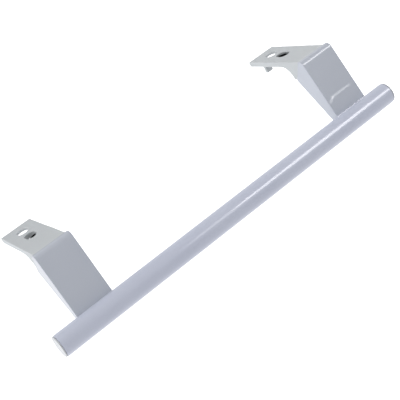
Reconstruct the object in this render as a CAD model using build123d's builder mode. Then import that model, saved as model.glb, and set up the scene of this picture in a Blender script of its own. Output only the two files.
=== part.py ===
import os
from math import atan2, cos, degrees, radians, sin, sqrt
from build123d import *

# Refrigerator door handle, in the position it has on the door.
# +Z runs up along the grip.  The door's side edge is the plane X = 0, with the
# door at X < 0, its front face is Y = -49.0, and the user stands at -Y.
# The origin lies on the door's side edge, half way between the fixing holes.
# Millimetres.

# ---- grip tube and its ends
tube_d = 21.3            # outside diameter
tube_wall = 1.5
tube_x = -61.65          # grip axis
tube_y = -98.9
grip_top = 201.0         # outer faces of the end caps
grip_bottom = -194.5
cap_flange = 1.35        # visible length of an end cap, seam included
cap_seam = 0.45          # shadow gap between the cap's flange and the tube
cap_set_in = 0.35        # the flange's radius is this much less than the tube's
cap_edge = 0.5           # rounding of its rim
tube_end_r = 0.9         # rounding of the tube's ends
cap_plug = 12.0          # length inside the tube
cap_wall = 1.8

# ---- brackets
pitch = 310.0            # between the two brackets, centre to centre
leg_w = 37.6             # width of the painted leg, along Z
strip_x = 6.2            # outer face of the strip above the bend
strip_end_y = -70.0      # where the strip stops on the plate
bend_y = -76.2           # sharp corner of the bend
bend_r = 5.2             # outer rounding of the bend
leg_angle = 73.6         # between the plate and the leg's front face
cover_t = 2.0            # front wall of the cover
cover_lip = 1.2          # wall of the strip
cover_side = 2.0         # side walls
cover_edge = 0.7         # rounding of the cover's long outer edges
cover_tip_s = 5.2        # the side wall stops this far before the tube's tangent
saddle_t = 2.4           # wall of the cover that seats on the tube
rear_top = (-13.6, -55.3)    # rear corner of the cover's side wall, near the door

# ---- bracket core and its mounting plate
core_w = 33.2
plate_x = strip_x - cover_lip    # outer face of the plate, 5.0
plate_web = 2.4          # skin of the plate
plate_rim = 2.2          # rim round its underside
plate_end_y = 19.8
plate_taper = 0.5        # each side, over the plate's length
plate_corner = 1.6
door_front_y = -49.0     # front face of the door
relief_r = 13.8          # inner curve that clears the door's rounded edge
wall = 2.2               # walls of the core
gap = 0.1                # between the fronts of core and cover
rear_set = 0.5           # the core's rear edges lie inside the cover's

# ---- openings of the plate
fix_w, fix_l = 10.5, 13.2        # fixing hole, along Z and along Y
slot_w, slot_l = 10.3, 16.4      # second opening
slot_y = -21.0                   # its middle
hole_edge = 0.5                  # rounding of both holes' outer edges
slot_boss = 2.2                  # wall round it
peg_z0, peg_z1 = 3.4, 8.7        # locating peg, from and to, off the middle
peg_y, peg_t = 8.0, 3.2
peg_x = -11.6                    # its tip
peg_foot_z, peg_foot_x = 1.2, -1.5   # below this X its shoulder reaches to this Z
plug_out = 4.0                   # the black plug stands this far into the door
# its outer end at the -Z and the +Z side of the opening
plug_end = {"upper": (2.1, -2.5), "lower": (2.7, 3.0)}

# ---- fasteners
screw_angle = 56.0       # from +X, direction in which the tube screw's head lies
seat_t = 15.8            # the head's seat, from the grip axis
tube_screw_d = 4.0
tube_head_d = 7.6
tube_head_h = 2.7
tube_screw_l = 11.5
insert_d, insert_l = 6.0, 9.0
insert_flange_d, insert_flange_t = 7.0, 0.5
nose_d = 7.0             # nose of the core that meets the insert
boss_d = 10.0            # screw boss round it, inside the leg
cup_s = 33.0             # cover screw: distance from the bend along the leg
cup_z = 0.0
cup_r, cup_deep = 5.2, 9.0       # cup of the core round the cover's screw boss
peg_boss_r = 3.0                 # the cover's screw boss
cover_screw_d = 3.0
cover_head_d = 5.6
cover_head_h = 2.2
cover_screw_l = 8.4

tube_r = tube_d / 2
tube_in = tube_r - tube_wall
cap_r = tube_r - cap_set_in
ang = radians(leg_angle)
leg_dir = (-sin(ang), -cos(ang))         # from the bend towards the grip
leg_out = (cos(ang), -sin(ang))          # outward normal of the front face


def front_point(s, inset=0.0):
    """Point s along the front face from the bend corner, inset into the wall."""
    return (strip_x + s * leg_dir[0] - inset * leg_out[0],
            bend_y + s * leg_dir[1] - inset * leg_out[1])


def front_meets_circle(radius, inset=0.0):
    """Where the front plane, moved in by inset, meets a circle round the grip axis."""
    px, py = tube_x - strip_x, tube_y - bend_y
    s0 = px * leg_dir[0] + py * leg_dir[1]
    d0 = px * leg_out[0] + py * leg_out[1] + inset
    return front_point(s0 - sqrt(radius ** 2 - d0 ** 2), inset)


def front_at_x(x, inset):
    """Point of the front plane, moved in by inset, at a given X."""
    x0, y0 = front_point(0, inset)
    s = (x - x0) / leg_dir[0]
    return (x, y0 + s * leg_dir[1])


def on_circle(radius, angle):
    return (tube_x + radius * cos(radians(angle)), tube_y + radius * sin(radians(angle)))


def angle_of(p):
    return degrees(atan2(p[1] - tube_y, p[0] - tube_x))


# The rear edge of the cover's side walls is a line that touches the back of the tube.
rx, ry = rear_top[0] - tube_x, rear_top[1] - tube_y
far = sqrt(rx ** 2 + ry ** 2)
touch = degrees(atan2(ry, rx)) + degrees(atan2(sqrt(far ** 2 - tube_r ** 2), tube_r))
touch_pt = on_circle(tube_r, touch)
rear_run = sqrt((rear_top[0] - touch_pt[0]) ** 2 + (rear_top[1] - touch_pt[1]) ** 2)
rear_dir = ((rear_top[0] - touch_pt[0]) / rear_run, (rear_top[1] - touch_pt[1]) / rear_run)
rear_out = (-rear_dir[1], rear_dir[0])           # towards the door


def rear_point(s, out=0.0):
    """Point s along the rear edge from where it touches the tube, moved out by out."""
    return (touch_pt[0] + s * rear_dir[0] + out * rear_out[0],
            touch_pt[1] + s * rear_dir[1] + out * rear_out[1])


def rear_meets_circle(radius, out=0.0):
    return rear_point(sqrt(radius ** 2 - (tube_r + out) ** 2), out)


def circle_mid(radius, p, q):
    """Middle of the short arc round the grip axis from p to q."""
    return on_circle(radius, (angle_of(p) + angle_of(q)) / 2)


# Directions of the two screws of each bracket.
sa = radians(screw_angle)
tube_screw_out = (cos(sa), sin(sa), 0)           # from the grip axis towards the head
cover_screw_out = (-leg_out[0], -leg_out[1], 0)  # from the cover's front wall inwards

os.makedirs("parts", exist_ok=True)

# ================================================================ grip tube
with BuildPart() as grip_tube:
    with BuildSketch(Plane.XY.offset(grip_bottom + cap_flange)):
        with Locations((tube_x, tube_y)):
            Circle(tube_r)
            Circle(tube_in, mode=Mode.SUBTRACT)
    extrude(amount=grip_top - grip_bottom - 2 * cap_flange)
    fillet(grip_tube.edges().filter_by(GeomType.CIRCLE)
           .filter_by(lambda e: abs(e.radius - tube_r) < 0.01), tube_end_r)
    for zc in (pitch / 2, -pitch / 2):
        with BuildSketch(Plane(origin=(tube_x, tube_y, zc), x_dir=(0, 0, 1), z_dir=tube_screw_out)):
            Circle(insert_d / 2)
        extrude(amount=tube_r + 1, mode=Mode.SUBTRACT)
grip_tube.part.label = "grip_tube"
export_step(grip_tube.part, "parts/grip_tube.step")

# ================================================================ end caps
for side, z_out, sign in (("upper", grip_top, 1), ("lower", grip_bottom, -1)):
    with BuildPart() as end_cap:
        # section of half the cap, turned round the grip axis
        with BuildSketch(Plane(origin=(tube_x, tube_y, z_out), x_dir=(1, 0, 0), z_dir=(0, -1, 0))):
            with BuildLine():
                Polyline((0, 0), (cap_r - cap_edge, 0))
                RadiusArc((cap_r - cap_edge, 0), (cap_r, -sign * cap_edge), sign * cap_edge)
                Polyline(
                    (cap_r, -sign * cap_edge),
                    (cap_r, -sign * (cap_flange - cap_seam)),
                    (tube_r - 1.1, -sign * (cap_flange - cap_seam)),
                    (tube_r - 1.1, -sign * cap_flange),
                    (tube_in, -sign * cap_flange),
                    (tube_in, -sign * (cap_flange + cap_plug - 1)),
                    (tube_in - 0.6, -sign * (cap_flange + cap_plug)),
                    (tube_in - cap_wall, -sign * (cap_flange + cap_plug)),
                    (tube_in - cap_wall, -sign * (cap_flange + 0.6)),
                    (0, -sign * (cap_flange + 0.6)),
                    (0, 0),
                )
            make_face()
        revolve(axis=Axis((tube_x, tube_y, 0), (0, 0, 1)))
    end_cap.part.label = "end_cap_" + side
    export_step(end_cap.part, "parts/end_cap_" + side + ".step")

# ================================================================ brackets
for side, zc in (("upper", pitch / 2), ("lower", -pitch / 2)):
    tube_screw_plane = Plane(origin=(tube_x, tube_y, zc), x_dir=(0, 0, 1), z_dir=tube_screw_out)
    cup_at = front_point(cup_s)
    cup_plane = Plane(origin=(cup_at[0], cup_at[1], zc + cup_z), x_dir=(0, 0, 1), z_dir=cover_screw_out)

    # ---------------------------------------------------------- leg cover
    # A painted shell: front face, strip over the bend, two side walls and a
    # saddle that seats on the tube.  It is open towards the door.
    with BuildPart() as leg_cover:
        foot = front_meets_circle(tube_r)
        tip = rear_point(cover_tip_s)
        tip_in = on_circle(tube_r, angle_of(tip))
        with BuildSketch(Plane.XY.offset(zc - leg_w / 2)) as cover_outline:
            with BuildLine():
                Polyline(foot, (strip_x, bend_y), (strip_x, strip_end_y), rear_top, tip, tip_in)
                ThreePointArc(tip_in, circle_mid(tube_r, tip_in, foot), foot)
            make_face()
            fillet(cover_outline.vertices().sort_by_distance((strip_x, bend_y, zc - leg_w / 2))[0], bend_r)
            fillet(cover_outline.vertices().sort_by_distance((strip_x, strip_end_y, zc - leg_w / 2))[0], 0.8)
            fillet(cover_outline.vertices().sort_by_distance((*rear_top, zc - leg_w / 2))[0], 2.0)
            fillet(cover_outline.vertices().sort_by_distance((*tip, zc - leg_w / 2))[0], 0.5)
        extrude(amount=leg_w)
        # long edges between the front face and the side walls
        front_edges = [
            e for e in leg_cover.edges()
            if abs(abs(e.center().Z - zc) - leg_w / 2) < 0.01
            and (e.center() - Vector(*front_point(30), e.center().Z)).length < 80
            and min(abs((Vector(*front_point(0)) - Vector(e.center().X, e.center().Y, 0)).dot(Vector(*leg_out))),
                    abs(e.center().X - strip_x)) < 1.2
            and e.center().Y < strip_end_y + 0.3
            and e.length > 2
        ]
        fillet(front_edges, cover_edge)
        in_foot = front_meets_circle(tube_r + saddle_t, cover_t)
        in_tip = on_circle(tube_r + saddle_t, touch)
        with BuildSketch(Plane.XY.offset(zc - leg_w / 2 + cover_side)):
            with BuildLine():
                Polyline(in_foot, front_at_x(strip_x - cover_lip, cover_t),
                         (strip_x - cover_lip, strip_end_y + 8), (-12, strip_end_y + 26),
                         rear_point(rear_run, 8), in_tip)
                ThreePointArc(in_tip, circle_mid(tube_r + saddle_t, in_tip, in_foot), in_foot)
            make_face()
        extrude(amount=leg_w - 2 * cover_side, mode=Mode.SUBTRACT)
        # way through the saddle for the core's nose
        with BuildSketch(tube_screw_plane):
            Circle(nose_d / 2 + 0.15)
        extrude(amount=tube_r + saddle_t + 6, mode=Mode.SUBTRACT)
        # screw boss on the inside of the front wall
        with BuildSketch(cup_plane.offset(cover_t - 0.6)):
            Circle(peg_boss_r)
        extrude(amount=0.6 + cup_deep - 2.6)
        with BuildSketch(cup_plane.offset(cover_t + 0.2)):
            Circle(cover_screw_d / 2)
        extrude(amount=cup_deep, mode=Mode.SUBTRACT)
    leg_cover.part.label = "leg_cover_" + side
    export_step(leg_cover.part, "parts/leg_cover_" + side + ".step")

    # ---------------------------------------------------------- bracket core
    # One moulding: the mounting plate, a tray open towards the door, and a
    # channel that fills the cover and carries the grip.
    with BuildPart() as bracket_core:
        set_in = cover_t + gap
        with BuildSketch(Plane(origin=(0, 0, 0), x_dir=(0, 1, 0), z_dir=(1, 0, 0))) as plate_outline:
            with BuildLine():
                Polyline((bend_y + 6, zc - core_w / 2), (door_front_y, zc - core_w / 2),
                         (plate_end_y, zc - core_w / 2 + plate_taper),
                         (plate_end_y, zc + core_w / 2 - plate_taper),
                         (door_front_y, zc + core_w / 2), (bend_y + 6, zc + core_w / 2), close=True)
            make_face()
            fillet(plate_outline.vertices().group_by(Axis.Y)[-1], plate_corner)
        extrude(amount=plate_x)
        fillet(bracket_core.faces().sort_by(Axis.X)[-1].edges().filter_by(
            lambda e: e.center().Y > bend_y + 8), 0.35)
        # side webs and everything between them
        top = (plate_x, front_at_x(plate_x, set_in)[1])
        c_foot = front_meets_circle(tube_r + saddle_t, set_in)
        c_rear = rear_meets_circle(tube_r + saddle_t, -rear_set)
        corner_x = -relief_r
        corner_s = (corner_x - rear_point(0, -rear_set)[0]) / rear_dir[0]
        mid = (-relief_r + relief_r * cos(radians(45)), door_front_y + relief_r - relief_r * sin(radians(45)))
        with BuildSketch(Plane.XY.offset(zc - core_w / 2)) as channel_outline:
            with BuildLine():
                Polyline(c_foot, top, (plate_x, door_front_y + relief_r + 3),
                         (0, door_front_y + relief_r + 3), (0, door_front_y + relief_r))
                ThreePointArc((0, door_front_y + relief_r), mid, (-relief_r, door_front_y))
                Polyline((-relief_r, door_front_y), rear_point(corner_s, -rear_set), c_rear)
                ThreePointArc(c_rear, circle_mid(tube_r + saddle_t, c_rear, c_foot), c_foot)
            make_face()
        extrude(amount=core_w)
        # hollow of the leg, open at the back
        h_foot = front_meets_circle(tube_r + saddle_t + wall, set_in + wall)
        h_rear = on_circle(tube_r + saddle_t + wall, touch)
        with BuildSketch(Plane.XY.offset(zc - core_w / 2 + wall)) as hollow:
            with BuildLine():
                Polyline(h_foot, front_at_x(plate_x - wall, set_in + wall),
                         (plate_x - wall, door_front_y + relief_r - wall),
                         (-relief_r - 6, door_front_y + relief_r - wall),
                         rear_point(rear_run, 10), h_rear)
                ThreePointArc(h_rear, circle_mid(tube_r + saddle_t + wall, h_rear, h_foot), h_foot)
            make_face()
        extrude(amount=core_w - 2 * wall, mode=Mode.SUBTRACT)
        # tray under the plate
        with BuildSketch(Plane(origin=(-1, 0, 0), x_dir=(0, 1, 0), z_dir=(1, 0, 0))) as tray:
            with BuildLine():
                Polyline((door_front_y + relief_r, zc - core_w / 2 + plate_rim),
                         (plate_end_y - plate_rim, zc - core_w / 2 + plate_rim + plate_taper),
                         (plate_end_y - plate_rim, zc + core_w / 2 - plate_rim - plate_taper),
                         (door_front_y + relief_r, zc + core_w / 2 - plate_rim), close=True)
            make_face()
            fillet(tray.vertices(), 1.0)
        extrude(amount=1 + plate_x - plate_web, mode=Mode.SUBTRACT)
        # wall round the second opening, and ribs that tie it to the rims
        with BuildSketch(Plane(origin=(0, 0, 0), x_dir=(0, 1, 0), z_dir=(1, 0, 0))):
            with Locations((slot_y, zc)):
                SlotOverall(slot_l + 2 * slot_boss, slot_w + 2 * slot_boss)
                Rectangle(1.6, core_w - plate_rim)
            with Locations((slot_y + slot_l / 2 + slot_boss + 1.2, zc)):
                Rectangle(1.6, core_w - plate_rim)
            with Locations((door_front_y + relief_r + 1.5, zc)):
                Rectangle(9, 1.6)
        extrude(amount=plate_x - 0.6)
        # longitudinal rib inside the leg
        with BuildSketch(Plane.XY.offset(zc - 0.9)):
            with BuildLine():
                Polyline(front_point(4, set_in + 1), front_point(52, set_in + 1),
                         front_point(48, set_in + wall + 2.4), front_point(18, set_in + wall + 5.5),
                         (plate_x - 1, door_front_y + relief_r - 6), close=True)
            make_face()
        extrude(amount=1.8)
        # cup round the cover's screw boss
        with BuildSketch(cup_plane.offset(set_in)):
            Circle(cup_r)
        extrude(amount=cup_deep - gap)
        with BuildSketch(cup_plane.offset(set_in - 1)):
            Circle(peg_boss_r + 0.2)
        extrude(amount=1 + cup_deep - gap - 2.5, mode=Mode.SUBTRACT)
        with BuildSketch(cup_plane.offset(set_in)):
            Circle(cover_screw_d / 2 + 0.1)
        extrude(amount=cup_deep + 3, mode=Mode.SUBTRACT)
        # screw boss and nose towards the tube
        with BuildSketch(tube_screw_plane.offset(tube_r + saddle_t + 0.8)):
            Circle(boss_d / 2)
        extrude(amount=seat_t - tube_r - saddle_t - 0.8)
        with BuildSketch(tube_screw_plane.offset(tube_r + insert_flange_t)):
            Circle(nose_d / 2)
        extrude(amount=saddle_t + 2)
        with BuildSketch(tube_screw_plane.offset(tube_r)):
            Circle(tube_screw_d / 2 + 0.2)
        extrude(amount=seat_t, mode=Mode.SUBTRACT)
        # the head's way in from the back
        with BuildSketch(tube_screw_plane.offset(seat_t)):
            Circle(tube_head_d / 2 + 0.35)
        extrude(amount=12, mode=Mode.SUBTRACT)
        # fixing hole and second opening
        with BuildSketch(Plane(origin=(-1, 0, 0), x_dir=(0, 1, 0), z_dir=(1, 0, 0))):
            with Locations((0, zc)):
                SlotOverall(fix_l, fix_w)
            with Locations((slot_y, zc)):
                SlotOverall(slot_l, slot_w)
        extrude(amount=plate_x + 2, mode=Mode.SUBTRACT)
        fillet([e for e in bracket_core.faces().filter_by(
                    lambda f: abs(f.center().X - plate_x) < 0.01 and f.area > 500)[0].edges()
                if abs(e.center().Z - zc) < 6 and slot_y - slot_l < e.center().Y < fix_l], hole_edge)
        # locating peg, with a shoulder below the plate
        with BuildSketch(Plane(origin=(peg_x, 0, 0), x_dir=(0, 1, 0), z_dir=(1, 0, 0))):
            with Locations((peg_y, zc + (peg_foot_z + peg_z1) / 2)):
                Rectangle(peg_t, peg_z1 - peg_foot_z)
        extrude(amount=peg_foot_x - peg_x)
        with BuildSketch(Plane(origin=(peg_foot_x - 0.5, 0, 0), x_dir=(0, 1, 0), z_dir=(1, 0, 0))):
            with Locations((peg_y, zc + (peg_z0 + peg_z1) / 2)):
                Rectangle(peg_t, peg_z1 - peg_z0)
        extrude(amount=plate_x - 0.5 - peg_foot_x + 0.5)
        chamfer(bracket_core.faces().sort_by(Axis.X).filter_by(
            lambda f: abs(f.center().Y - peg_y) < 1 and abs(f.center().X - peg_x) < 0.01)[0].edges(), 0.5)
        # the peg's foot must leave the fixing hole free
        with BuildSketch(Plane(origin=(-1, 0, 0), x_dir=(0, 1, 0), z_dir=(1, 0, 0))):
            with Locations((0, zc)):
                SlotOverall(fix_l, fix_w)
        extrude(amount=plate_x + 2, mode=Mode.SUBTRACT)
    bracket_core.part.label = "bracket_core_" + side
    export_step(bracket_core.part, "parts/bracket_core_" + side + ".step")

    # ---------------------------------------------------------- black plug
    # Sits in the second opening; its outer end is cut on a slope and its inner
    # end stands into the door.
    with BuildPart() as locating_plug:
        with BuildSketch(Plane(origin=(-plug_out, 0, 0), x_dir=(0, 1, 0), z_dir=(1, 0, 0))):
            with Locations((slot_y, zc)):
                SlotOverall(slot_l, slot_w)
        extrude(amount=plug_out + plate_x)
        with BuildSketch(Plane.XZ.offset(-(slot_y + slot_l / 2 + 1))):
            with BuildLine():
                end_a, end_b = plug_end[side]
                Polyline((end_a, zc - slot_w / 2), (end_b, zc + slot_w / 2), (end_b, zc + slot_w),
                         (plate_x + 2, zc + slot_w), (plate_x + 2, zc - slot_w), (end_a, zc - slot_w),
                         close=True)
            make_face()
        extrude(amount=slot_l + 2, mode=Mode.SUBTRACT)
        chamfer(locating_plug.faces().sort_by(Axis.X)[0].edges(), 0.6)
    locating_plug.part.label = "locating_plug_" + side
    export_step(locating_plug.part, "parts/locating_plug_" + side + ".step")

    # ---------------------------------------------------------- tube insert
    with BuildPart() as tube_insert:
        with BuildSketch(tube_screw_plane.offset(tube_r + insert_flange_t - insert_l)):
            Circle(insert_d / 2)
            Circle(tube_screw_d / 2, mode=Mode.SUBTRACT)
        extrude(amount=insert_l)
        with BuildSketch(tube_screw_plane.offset(tube_r)):
            Circle(insert_flange_d / 2)
            Circle(tube_screw_d / 2, mode=Mode.SUBTRACT)
        extrude(amount=insert_flange_t)
    tube_insert.part.label = "tube_insert_" + side
    export_step(tube_insert.part, "parts/tube_insert_" + side + ".step")

    # ---------------------------------------------------------- tube screw
    with BuildPart() as tube_screw:
        with BuildSketch(tube_screw_plane.offset(seat_t - tube_screw_l)):
            Circle(tube_screw_d / 2)
        extrude(amount=tube_screw_l)
        with BuildSketch(tube_screw_plane.offset(seat_t)):
            Circle(tube_head_d / 2)
        extrude(amount=tube_head_h)
        fillet(tube_screw.faces().sort_by(Axis((tube_x, tube_y, zc), tube_screw_out))[-1].edges(), 1.2)
        with BuildSketch(tube_screw_plane.offset(seat_t + tube_head_h - 1.9)):
            Rectangle(4.6, 0.95)
            Rectangle(0.95, 4.6)
        extrude(amount=3, mode=Mode.SUBTRACT)
        chamfer(tube_screw.faces().sort_by(Axis((tube_x, tube_y, zc), tube_screw_out))[0].edges(), 0.6)
    tube_screw.part.label = "tube_screw_" + side
    export_step(tube_screw.part, "parts/tube_screw_" + side + ".step")

    # ---------------------------------------------------------- cover screw
    cup_floor = set_in + cup_deep - gap
    with BuildPart() as cover_screw:
        with BuildSketch(cup_plane.offset(cup_floor - cover_screw_l)):
            Circle(cover_screw_d / 2)
        extrude(amount=cover_screw_l)
        with BuildSketch(cup_plane.offset(cup_floor)):
            Circle(cover_head_d / 2)
        extrude(amount=cover_head_h)
        fillet(cover_screw.faces().sort_by(Axis((cup_at[0], cup_at[1], zc), cover_screw_out))[-1].edges(), 0.9)
        with BuildSketch(cup_plane.offset(cup_floor + cover_head_h - 1.4)):
            Rectangle(3.4, 0.8)
            Rectangle(0.8, 3.4)
        extrude(amount=3, mode=Mode.SUBTRACT)
        chamfer(cover_screw.faces().sort_by(Axis((cup_at[0], cup_at[1], zc), cover_screw_out))[0].edges(), 0.7)
    cover_screw.part.label = "cover_screw_" + side
    export_step(cover_screw.part, "parts/cover_screw_" + side + ".step")
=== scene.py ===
import math

import bpy
from mathutils import Matrix, Vector

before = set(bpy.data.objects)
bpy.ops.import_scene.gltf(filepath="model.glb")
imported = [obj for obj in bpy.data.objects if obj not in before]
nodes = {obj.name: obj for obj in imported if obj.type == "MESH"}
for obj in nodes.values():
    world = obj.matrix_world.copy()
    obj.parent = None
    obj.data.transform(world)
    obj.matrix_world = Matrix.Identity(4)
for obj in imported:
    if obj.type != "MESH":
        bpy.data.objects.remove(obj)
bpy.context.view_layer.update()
scene = bpy.context.scene


# ------------------------------------------------------------------ helpers
class Tree:
    """A small helper round a material's node tree."""

    def __init__(self, name):
        self.mat = bpy.data.materials.new(name)
        self.mat.use_nodes = True
        self.t = self.mat.node_tree
        self.t.nodes.clear()
        self.out = self.t.nodes.new("ShaderNodeOutputMaterial")
        self.bsdf = self.t.nodes.new("ShaderNodeBsdfPrincipled")
        self.t.links.new(self.bsdf.outputs[0], self.out.inputs[0])
        self.coord = self.t.nodes.new("ShaderNodeTexCoord")

    def node(self, kind, **values):
        n = self.t.nodes.new(kind)
        for k, v in values.items():
            setattr(n, k, v)
        return n

    def link(self, a, b):
        self.t.links.new(a, b)

    def noise(self, scale, detail=3.0, rough=0.5, stretch=None, distortion=0.0, vector=None):
        n = self.node("ShaderNodeTexNoise")
        n.inputs["Scale"].default_value = scale
        n.inputs["Detail"].default_value = detail
        n.inputs["Roughness"].default_value = rough
        n.inputs["Distortion"].default_value = distortion
        source = vector or self.coord.outputs["Object"]
        if stretch:
            m = self.node("ShaderNodeMapping")
            m.inputs["Scale"].default_value = stretch
            self.link(source, m.inputs["Vector"])
            source = m.outputs[0]
        self.link(source, n.inputs["Vector"])
        return n.outputs["Fac"]

    def voronoi(self, scale, feature="F1"):
        n = self.node("ShaderNodeTexVoronoi", feature=feature)
        n.inputs["Scale"].default_value = scale
        self.link(self.coord.outputs["Object"], n.inputs["Vector"])
        return n.outputs["Distance"]

    def span(self, value, lo, hi, to_lo, to_hi, smooth=False):
        n = self.node("ShaderNodeMapRange")
        if smooth:
            n.interpolation_type = "SMOOTHSTEP"
        n.inputs["From Min"].default_value = lo
        n.inputs["From Max"].default_value = hi
        n.inputs["To Min"].default_value = to_lo
        n.inputs["To Max"].default_value = to_hi
        self.link(value, n.inputs["Value"])
        return n.outputs[0]

    def maths(self, op, a, b):
        n = self.node("ShaderNodeMath", operation=op)
        for i, v in enumerate((a, b)):
            if isinstance(v, (int, float)):
                n.inputs[i].default_value = v
            else:
                self.link(v, n.inputs[i])
        return n.outputs[0]

    def mix(self, fac, a, b, blend="MIX"):
        n = self.node("ShaderNodeMix", data_type="RGBA", blend_type=blend)
        if isinstance(fac, (int, float)):
            n.inputs[0].default_value = fac
        else:
            self.link(fac, n.inputs[0])
        for i, v in ((6, a), (7, b)):
            if isinstance(v, tuple):
                n.inputs[i].default_value = (*v, 1.0)
            else:
                self.link(v, n.inputs[i])
        return n.outputs[2]

    def bump(self, height, strength, distance, normal=None):
        n = self.node("ShaderNodeBump")
        n.inputs["Strength"].default_value = strength
        n.inputs["Distance"].default_value = distance
        self.link(height, n.inputs["Height"])
        if normal is not None:
            self.link(normal, n.inputs["Normal"])
        return n.outputs[0]

    def set(self, **values):
        for k, v in values.items():
            self.bsdf.inputs[k.replace("_", " ")].default_value = v


def gloss_paint(name, base, shade, coat, seed, haze=0.03):
    """Sprayed gloss enamel: orange peel, a trace of uneven thickness, fine dust nibs."""
    m = Tree(name)
    cloud = m.noise(14.0 + seed, 2.0, 0.5)
    fine = m.noise(900.0, 3.0, 0.6)
    tint = m.mix(m.span(cloud, 0.35, 0.65, 0.0, 1.0, True), base, shade)
    tint = m.mix(m.span(fine, 0.3, 0.7, 0.0, 0.05), tint, tuple(0.82 * c for c in base))
    m.link(tint, m.bsdf.inputs["Base Color"])
    smear = m.noise(38.0 + seed, 4.0, 0.6, (1.0, 1.0, 0.35))
    m.link(m.span(smear, 0.3, 0.7, 0.30, 0.40), m.bsdf.inputs["Roughness"])
    peel = m.noise(520.0, 2.0, 0.45)
    wave = m.noise(95.0, 1.0, 0.4)
    nibs = m.span(m.voronoi(330.0), 0.0, 0.07, 1.0, 0.0, True)
    h = m.maths("ADD", m.maths("MULTIPLY", peel, 0.5), m.maths("MULTIPLY", wave, 1.0))
    h = m.maths("ADD", h, m.maths("MULTIPLY", nibs, 0.12))
    m.link(m.bump(h, 0.12, 0.0006), m.bsdf.inputs["Normal"])
    m.link(m.bump(wave, 0.003, 0.0006), m.bsdf.inputs["Coat Normal"])
    m.set(Coat_Weight=coat, Coat_Roughness=haze, Coat_IOR=1.5, IOR=1.4)
    return m.mat


def moulded(name, base, shade, rough_lo, rough_hi, grain, bump, seed, level=0.5, glow=0.0):
    """Injection-moulded plastic: a fine eroded texture, faint flow clouds, scuffs."""
    m = Tree(name)
    flow = m.noise(22.0 + seed, 3.0, 0.55, (1.0, 0.4, 1.0), 0.6)
    speck = m.noise(1500.0, 2.0, 0.6)
    tint = m.mix(m.span(flow, 0.35, 0.68, 0.0, 1.0, True), base, shade)
    tint = m.mix(m.span(speck, 0.35, 0.75, 0.0, 0.10), tint, tuple(0.7 * c for c in base))
    m.link(tint, m.bsdf.inputs["Base Color"])
    scuff = m.noise(160.0 + seed, 5.0, 0.65, (1.0, 0.12, 1.0))
    m.link(m.span(scuff, 0.35, 0.7, rough_lo, rough_hi), m.bsdf.inputs["Roughness"])
    pit = m.noise(grain, 3.0, 0.6)
    m.link(m.bump(pit, bump, 0.0003), m.bsdf.inputs["Normal"])
    m.set(IOR=1.49, Specular_IOR_Level=level)
    if glow:
        m.set(Subsurface_Weight=glow, Subsurface_Scale=0.003)
        m.bsdf.inputs["Subsurface Radius"].default_value = (1.0, 1.0, 1.0)
    return m.mat


def plated_steel(name):
    """Bright zinc plate: pale, faintly blue and yellow, with rolling marks."""
    m = Tree(name)
    hue = m.noise(420.0, 3.0, 0.6)
    tint = m.mix(m.span(hue, 0.35, 0.65, 0.0, 1.0), (0.60, 0.61, 0.64), (0.68, 0.66, 0.57))
    m.link(tint, m.bsdf.inputs["Base Color"])
    marks = m.noise(1800.0, 3.0, 0.6)
    m.link(m.span(marks, 0.3, 0.7, 0.22, 0.42), m.bsdf.inputs["Roughness"])
    m.link(m.bump(marks, 0.15, 0.0002), m.bsdf.inputs["Normal"])
    m.set(Metallic=1.0)
    return m.mat


def dress(names, material):
    for n in names:
        o = nodes[n]
        o.data.materials.clear()
        o.data.materials.append(material)
        for p in o.data.polygons:
            p.material_index = 0


tube_paint = gloss_paint("tube_enamel", (0.64, 0.67, 0.785), (0.62, 0.65, 0.77), 0.9, 0)
cover_paint = gloss_paint("cover_enamel", (0.575, 0.605, 0.675), (0.56, 0.59, 0.66), 0.9, 3, 0.012)
cap_paint = gloss_paint("cap_enamel", (0.64, 0.655, 0.68), (0.62, 0.635, 0.66), 0.6, 5)
grey = moulded("core_plastic", (0.615, 0.64, 0.65), (0.595, 0.62, 0.635), 0.42, 0.58, 1400.0, 0.18, 0, glow=0.3)
black = moulded("plug_plastic", (0.006, 0.006, 0.007), (0.009, 0.009, 0.010), 0.65, 0.8, 1800.0, 0.2, 4, 0.02)
zinc = plated_steel("zinc_plate")

dress(["grip_tube"], tube_paint)
dress(["end_cap_upper", "end_cap_lower"], cap_paint)
dress(["leg_cover_upper", "leg_cover_lower"], cover_paint)
dress(["bracket_core_upper", "bracket_core_lower"], grey)
dress(["locating_plug_upper", "locating_plug_lower"], black)
dress([n for n in nodes if "screw" in n or "insert" in n], zinc)


# ------------------------------------------------------------------ camera
cam_data = bpy.data.cameras.new("photo_camera")
cam = bpy.data.objects.new("photo_camera", cam_data)
scene.collection.objects.link(cam)
right = Vector((-0.446747, -0.491793, -0.747366))
up = Vector((0.816404, 0.117576, -0.565385))
look = Vector((-0.365925, 0.862737, -0.348976))
m = Matrix.Identity(4)
for i in range(3):
    m[i][0], m[i][1], m[i][2] = right[i], up[i], -look[i]
m.translation = Vector((0.275909, -0.817110, 0.320101))
cam.matrix_world = m
cam_data.sensor_width = 36.0
cam_data.lens = 86.291
cam_data.shift_x = 0.0064
cam_data.shift_y = -0.0094
cam_data.clip_start, cam_data.clip_end = 0.01, 60.0
scene.camera = cam


# ------------------------------------------------------------------ floor, light
def flat_material(name, colour, emit):
    t = Tree(name)
    t.set(Base_Color=(*colour, 1.0), Roughness=0.9, Emission_Color=(1.0, 1.0, 1.0, 1.0), Emission_Strength=emit)
    return t.mat


bpy.ops.mesh.primitive_plane_add(size=60.0, location=(0, 0, -1.3))
floor = bpy.context.object
floor.name = "floor"
floor.data.materials.append(flat_material("floor_paper", (0.9, 0.9, 0.9), 1.0))
floor.visible_glossy = False
floor.visible_diffuse = False

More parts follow.
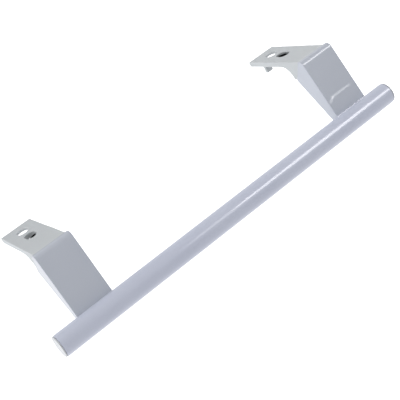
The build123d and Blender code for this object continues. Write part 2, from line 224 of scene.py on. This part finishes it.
world = bpy.data.worlds.new("studio")
scene.world = world
world.use_nodes = True
wt = world.node_tree
wt.nodes.clear()
w_out = wt.nodes.new("ShaderNodeOutputWorld")
sky = wt.nodes.new("ShaderNodeBackground")
seen = wt.nodes.new("ShaderNodeBackground")
pick = wt.nodes.new("ShaderNodeMixShader")
path = wt.nodes.new("ShaderNodeLightPath")
around = wt.nodes.new("ShaderNodeTexCoord")
toward = wt.nodes.new("ShaderNodeVectorMath")
toward.operation = "DOT_PRODUCT"
toward.inputs[1].default_value = (-0.85, 0.53, 0.0)
ramp = wt.nodes.new("ShaderNodeMapRange")
ramp.inputs["From Min"].default_value, ramp.inputs["From Max"].default_value = -1.0, 1.0
ramp.inputs["To Min"].default_value, ramp.inputs["To Max"].default_value = 0.36, 1.14
sky.inputs[0].default_value = (0.97, 0.98, 1.0, 1.0)
seen.inputs[0].default_value = (1.0, 1.0, 1.0, 1.0)
seen.inputs[1].default_value = 1.0
wt.links.new(around.outputs["Generated"], toward.inputs[0])
wt.links.new(toward.outputs["Value"], ramp.inputs["Value"])
wt.links.new(ramp.outputs[0], sky.inputs[1])
wt.links.new(path.outputs["Is Camera Ray"], pick.inputs[0])
wt.links.new(sky.outputs[0], pick.inputs[1])
wt.links.new(seen.outputs[0], pick.inputs[2])
wt.links.new(pick.outputs[0], w_out.inputs[0])


def softbox(name, direction, distance, size_x, size_y, watts, roll=None, colour=(1.0, 1.0, 1.0), at=(-0.03, -0.07, 0.0), shape="RECTANGLE", glossy=True, diffuse=True):
    d = Vector(direction).normalized()
    data = bpy.data.lights.new(name, "AREA")
    data.shape = shape
    data.size, data.size_y = size_x, size_y
    data.energy = watts
    data.color = colour
    o = bpy.data.objects.new(name, data)
    scene.collection.objects.link(o)
    z = d
    x = Vector(roll) - Vector(roll).dot(z) * z if roll else z.orthogonal()
    x.normalize()
    y = z.cross(x)
    w = Matrix.Identity(4)
    for i in range(3):
        w[i][0], w[i][1], w[i][2] = x[i], y[i], z[i]
    w.translation = Vector(at) + d * distance
    o.matrix_world = w
    o.visible_camera = False
    o.visible_glossy = glossy
    o.visible_diffuse = diffuse
    return o


# big soft light from the upper end of the grip, another over the plates
softbox("key_end", (0.0, 0.1, 0.99), 2.2, 1.2, 1.2, 15.0, glossy=False)
softbox("over_plates", (0.97, -0.17, -0.1), 1.6, 1.4, 1.4, 10.5, at=(-0.03, -0.07, 0.02), glossy=False)
# lamp whose mirror image draws the line along the grip and the lower bend, and its softer rim
softbox("lamp", (0.53, -0.66, -0.54), 1.3, 0.44, 0.54, 3.3, roll=(0.78, 0.626, 0.0), shape="ELLIPSE", diffuse=False)
softbox("lamp_rim", (0.53, -0.66, -0.54), 1.32, 0.66, 0.82, 2.8, roll=(0.78, 0.626, 0.0), shape="ELLIPSE", diffuse=False)
# bright window edge that the lower leg mirrors
softbox("edge_long", (0.144, -0.8455, -0.5135), 1.2, 0.048, 0.0050, 0.0033, roll=(0.002, -0.011, 0.039),
        at=(-0.0354, -0.0885, -0.1543), diffuse=False)
softbox("edge_short", (0.1435, -0.852, -0.5035), 1.2, 0.018, 0.0055, 0.0012, roll=(-0.007, -0.005, 0.012),
        at=(-0.0371, -0.0890, -0.1413), diffuse=False)
# grey card that the upper bracket's strip mirrors
bpy.ops.mesh.primitive_plane_add(size=0.28)
card = bpy.context.object
card.name = "grey_card"
card_way = Vector((0.3236, 0.9253, -0.1978)).normalized()
card.matrix_world = Matrix.Translation(Vector((0.006, -0.045, 0.155)) + 1.0 * card_way) @ card_way.to_track_quat("Z", "Y").to_matrix().to_4x4()
card.data.materials.append(flat_material("card_board", (0.03, 0.03, 0.03), 0.28))
card.visible_camera = False
card.visible_diffuse = False
card.visible_shadow = False
card.visible_transmission = False

scene.view_settings.view_transform = "Standard"
scene.view_settings.look = "None"
scene.view_settings.exposure = 0.0
scene.view_settings.gamma = 1.0
